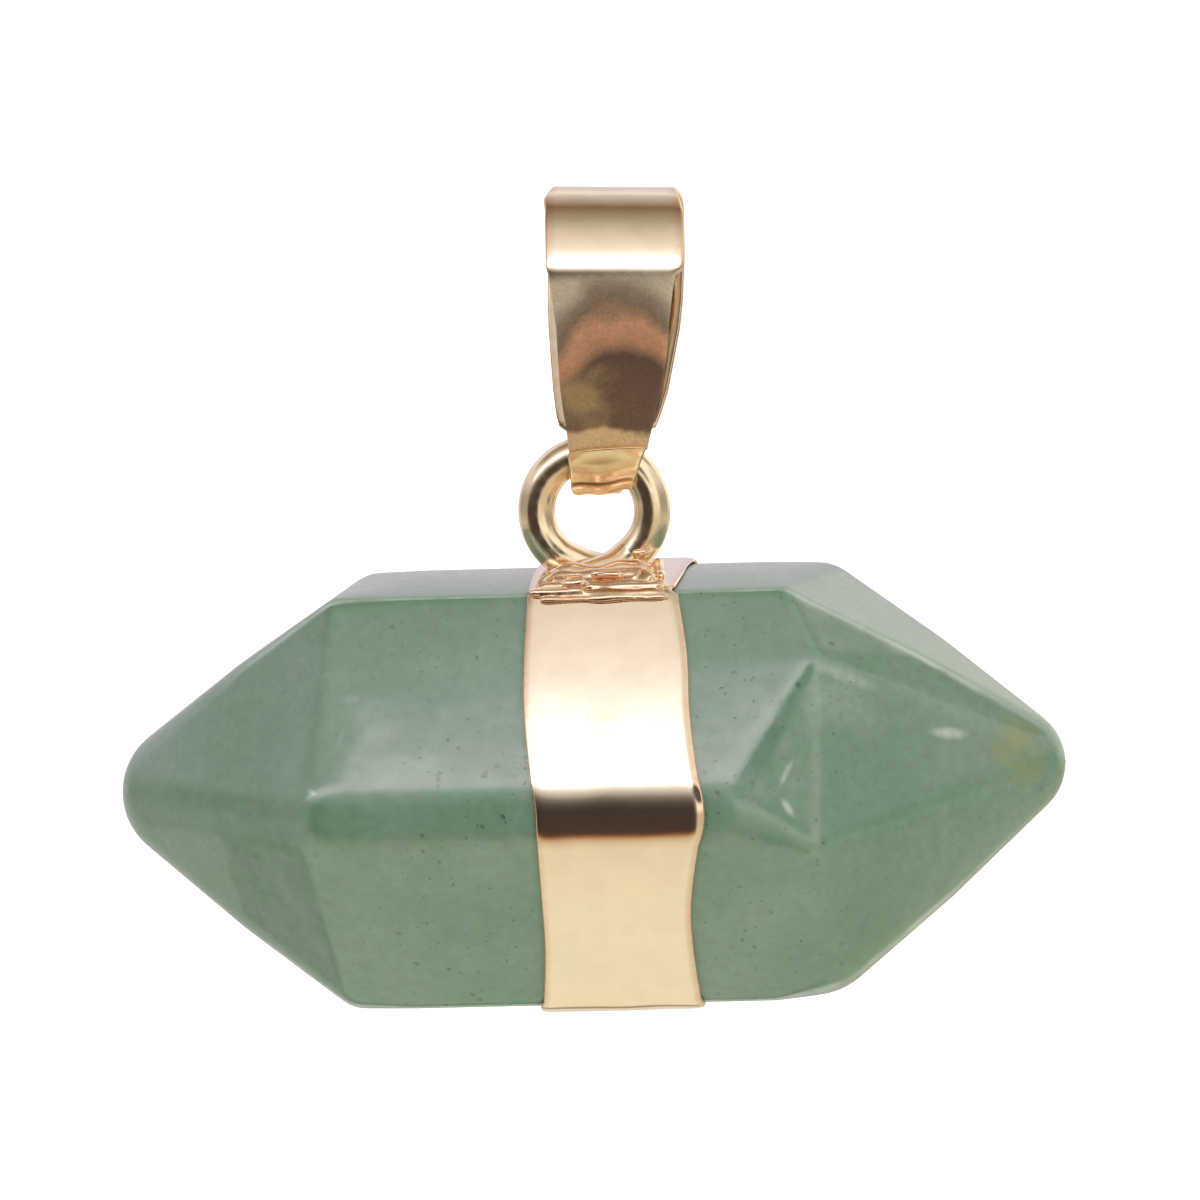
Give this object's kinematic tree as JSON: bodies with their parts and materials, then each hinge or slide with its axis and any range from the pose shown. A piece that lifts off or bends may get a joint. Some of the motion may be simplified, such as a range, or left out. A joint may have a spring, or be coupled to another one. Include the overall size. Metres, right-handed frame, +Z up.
{
  "type": "stone pendant",
  "caption": "Six-sided stone bar pointed at both ends, held by a gilt collar with a soldered wire ring and a folded bail that a chain passes through.",
  "frame": {"origin": "on the axis of the bail's round top, at the middle of its length, where the chain passes", "axes": "+X along the stone to its right point, -Y the front that the picture shows, +Z up"},
  "size_m": [0.036, 0.018, 0.0309],
  "materials": {
    "gilt_bail": "polished",
    "gilt_collar": "polished",
    "aventurine": "polished"
  },
  "bodies": {
    "bail": {"bail": "gilt_bail"},
    "drop": {"collar": "gilt_collar", "stone": "aventurine"}
  },
  "joints": [
    {"name": "drop_swing", "type": "hinge", "parent": "bail", "child": "drop", "pos_m": [-0.00026, 0, -0.00742], "axis": [0.9994, 0, -0.0349], "range_deg": [-20, 95]}
  ]
}
